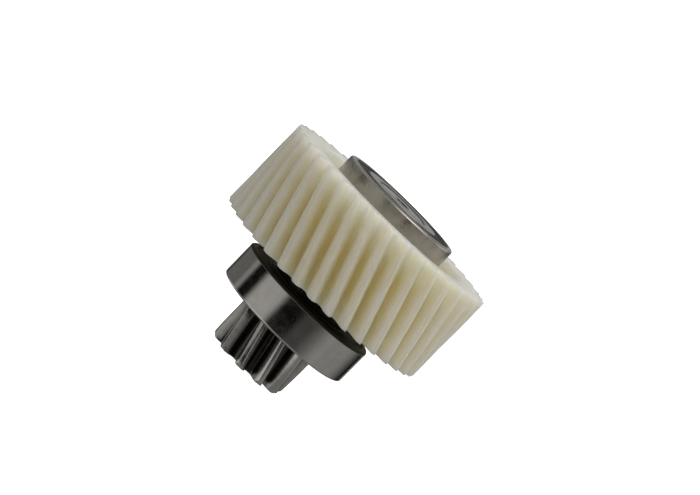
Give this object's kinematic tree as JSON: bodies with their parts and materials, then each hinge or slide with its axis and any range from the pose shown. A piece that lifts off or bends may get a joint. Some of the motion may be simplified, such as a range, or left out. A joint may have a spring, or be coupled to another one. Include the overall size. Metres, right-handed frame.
{
  "type": "reduction gear shaft",
  "caption": "Compound reduction gear: a moulded helical wheel keyed to a steel shaft that ends in a helical pinion, carried by two sealed ball bearings.",
  "frame": {"origin": "centre of the shaft at the pinion's free end, which is the lowest point", "axes": "+Z along the shaft from the pinion towards the smaller bearing; +X through the middle of the drive key"},
  "size_m": [0.0514, 0.0514, 0.0454],
  "materials": {
    "nylon": "satin moulded nylon, slightly translucent",
    "shaft_steel": "ground and hardened",
    "hub_steel": "turned",
    "spring_steel": "oiled black",
    "bearing_steel": "fine ground",
    "ball_steel": "polished",
    "cage_steel": "pressed sheet",
    "seal_rubber": "matt"
  },
  "bodies": {
    "shaft": {"pinion_shaft": "shaft_steel", "drive_key": "hub_steel", "gear_hub": "hub_steel", "nylon_gear": "nylon", "spacer_ring": "hub_steel", "shim_washer": "hub_steel", "retaining_ring": "spring_steel", "lower_bearing_inner_ring": "bearing_steel", "upper_bearing_inner_ring": "bearing_steel"},
    "lower_bearing_outer": {"lower_bearing_outer_ring": "bearing_steel", "lower_bearing_top_seal": "seal_rubber", "lower_bearing_bottom_seal": "seal_rubber"},
    "lower_bearing_cage": {"lower_bearing_balls": "ball_steel", "lower_bearing_cage_top": "cage_steel", "lower_bearing_cage_bottom": "cage_steel", "lower_bearing_cage_rivets": "cage_steel"},
    "upper_bearing_outer": {"upper_bearing_outer_ring": "bearing_steel", "upper_bearing_top_seal": "seal_rubber", "upper_bearing_bottom_seal": "seal_rubber"},
    "upper_bearing_cage": {"upper_bearing_balls": "ball_steel", "upper_bearing_cage_top": "cage_steel", "upper_bearing_cage_bottom": "cage_steel", "upper_bearing_cage_rivets": "cage_steel"}
  },
  "joints": [
    {"name": "lower_bearing_turn", "type": "hinge", "parent": "shaft", "child": "lower_bearing_outer", "pos_m": [0, 0, 0.0148], "axis": [0, 0, 1], "continuous": true},
    {"name": "lower_cage_turn", "type": "hinge", "parent": "shaft", "child": "lower_bearing_cage", "pos_m": [0, 0, 0.0148], "axis": [0, 0, 1], "continuous": true},
    {"name": "upper_bearing_turn", "type": "hinge", "parent": "shaft", "child": "upper_bearing_outer", "pos_m": [0, 0, 0.0414], "axis": [0, 0, 1], "continuous": true},
    {"name": "upper_cage_turn", "type": "hinge", "parent": "shaft", "child": "upper_bearing_cage", "pos_m": [0, 0, 0.0414], "axis": [0, 0, 1], "continuous": true}
  ],
  "couplings": [
    {"joint": "lower_cage_turn", "follows": "lower_bearing_turn", "ratio": 0.6013},
    {"joint": "upper_cage_turn", "follows": "upper_bearing_turn", "ratio": 0.5973}
  ]
}
